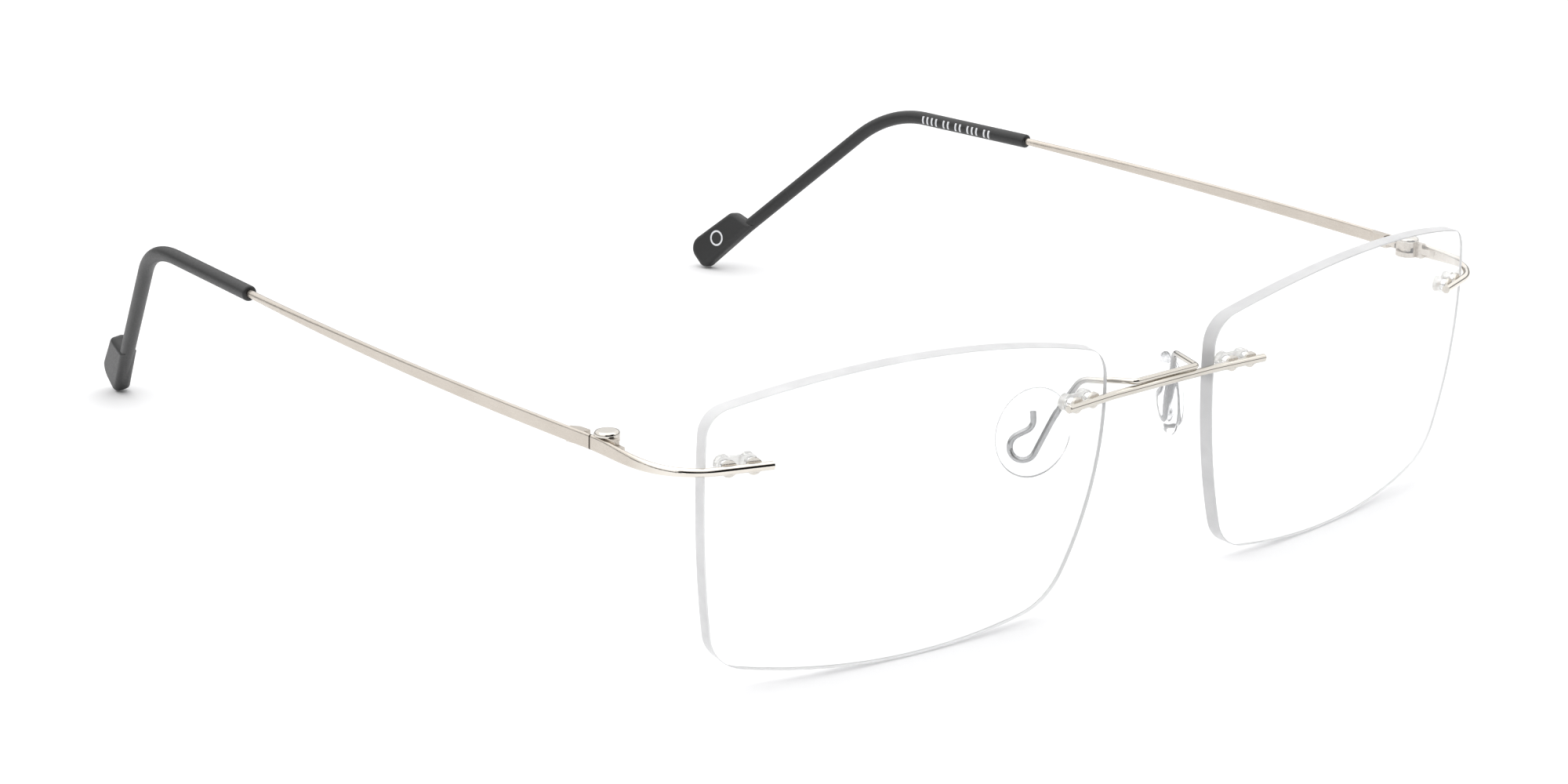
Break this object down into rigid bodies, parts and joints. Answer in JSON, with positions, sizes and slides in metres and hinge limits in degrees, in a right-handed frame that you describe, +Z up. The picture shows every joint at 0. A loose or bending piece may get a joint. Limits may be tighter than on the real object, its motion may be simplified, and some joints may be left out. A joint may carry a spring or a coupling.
{
  "type": "rimless eyeglasses",
  "caption": "Rimless spectacles: two drilled lenses joined by a wire bridge with nose pads, and slim temples that fold in on screw hinges.",
  "frame": {"origin": "on the plane the glasses stand on, under the middle of their box, between the temples", "axes": "+Z up; +Y towards the back, along the temples; +X towards the wearer's left"},
  "size_m": [0.1332, 0.1468, 0.0352],
  "materials": {
    "lens": "clear and polished, with a finely ground edge",
    "frame_metal": "satin champagne-silver plating",
    "polished_metal": "polished champagne-silver plating",
    "pin_metal": "plain drawn wire",
    "clear_sleeve": "clear moulded",
    "silicone": "clear soft silicone",
    "tip_plastic": "satin black"
  },
  "bodies": {
    "front": {"bridge_bar": "polished_metal", "pad_arms": "polished_metal", "lens_left": "lens", "bridge_pins_left": "pin_metal", "end_pins_left": "pin_metal", "bridge_sleeve_left": "clear_sleeve", "end_sleeve_left": "clear_sleeve", "nose_pad_left": "silicone", "end_piece_left": "frame_metal", "front_hinge_leaf_left": "frame_metal", "hinge_screw_left": "polished_metal", "lens_right": "lens", "bridge_pins_right": "pin_metal", "end_pins_right": "pin_metal", "bridge_sleeve_right": "clear_sleeve", "end_sleeve_right": "clear_sleeve", "nose_pad_right": "silicone", "end_piece_right": "frame_metal", "front_hinge_leaf_right": "frame_metal", "hinge_screw_right": "polished_metal"},
    "left_temple": {"temple_left": "frame_metal", "temple_hinge_leaf_left": "frame_metal", "temple_tip_left": "tip_plastic"},
    "right_temple": {"temple_right": "frame_metal", "temple_hinge_leaf_right": "frame_metal", "temple_tip_right": "tip_plastic"}
  },
  "joints": [
    {"name": "left_temple_hinge", "type": "hinge", "parent": "front", "child": "left_temple", "pos_m": [0.06462, -0.05326, 0.02672], "axis": [0, -0.0297, 0.9996], "range_deg": [0, 83]},
    {"name": "right_temple_hinge", "type": "hinge", "parent": "front", "child": "right_temple", "pos_m": [-0.06462, -0.05326, 0.02672], "axis": [0, -0.0297, -0.9996], "range_deg": [0, 83]}
  ]
}
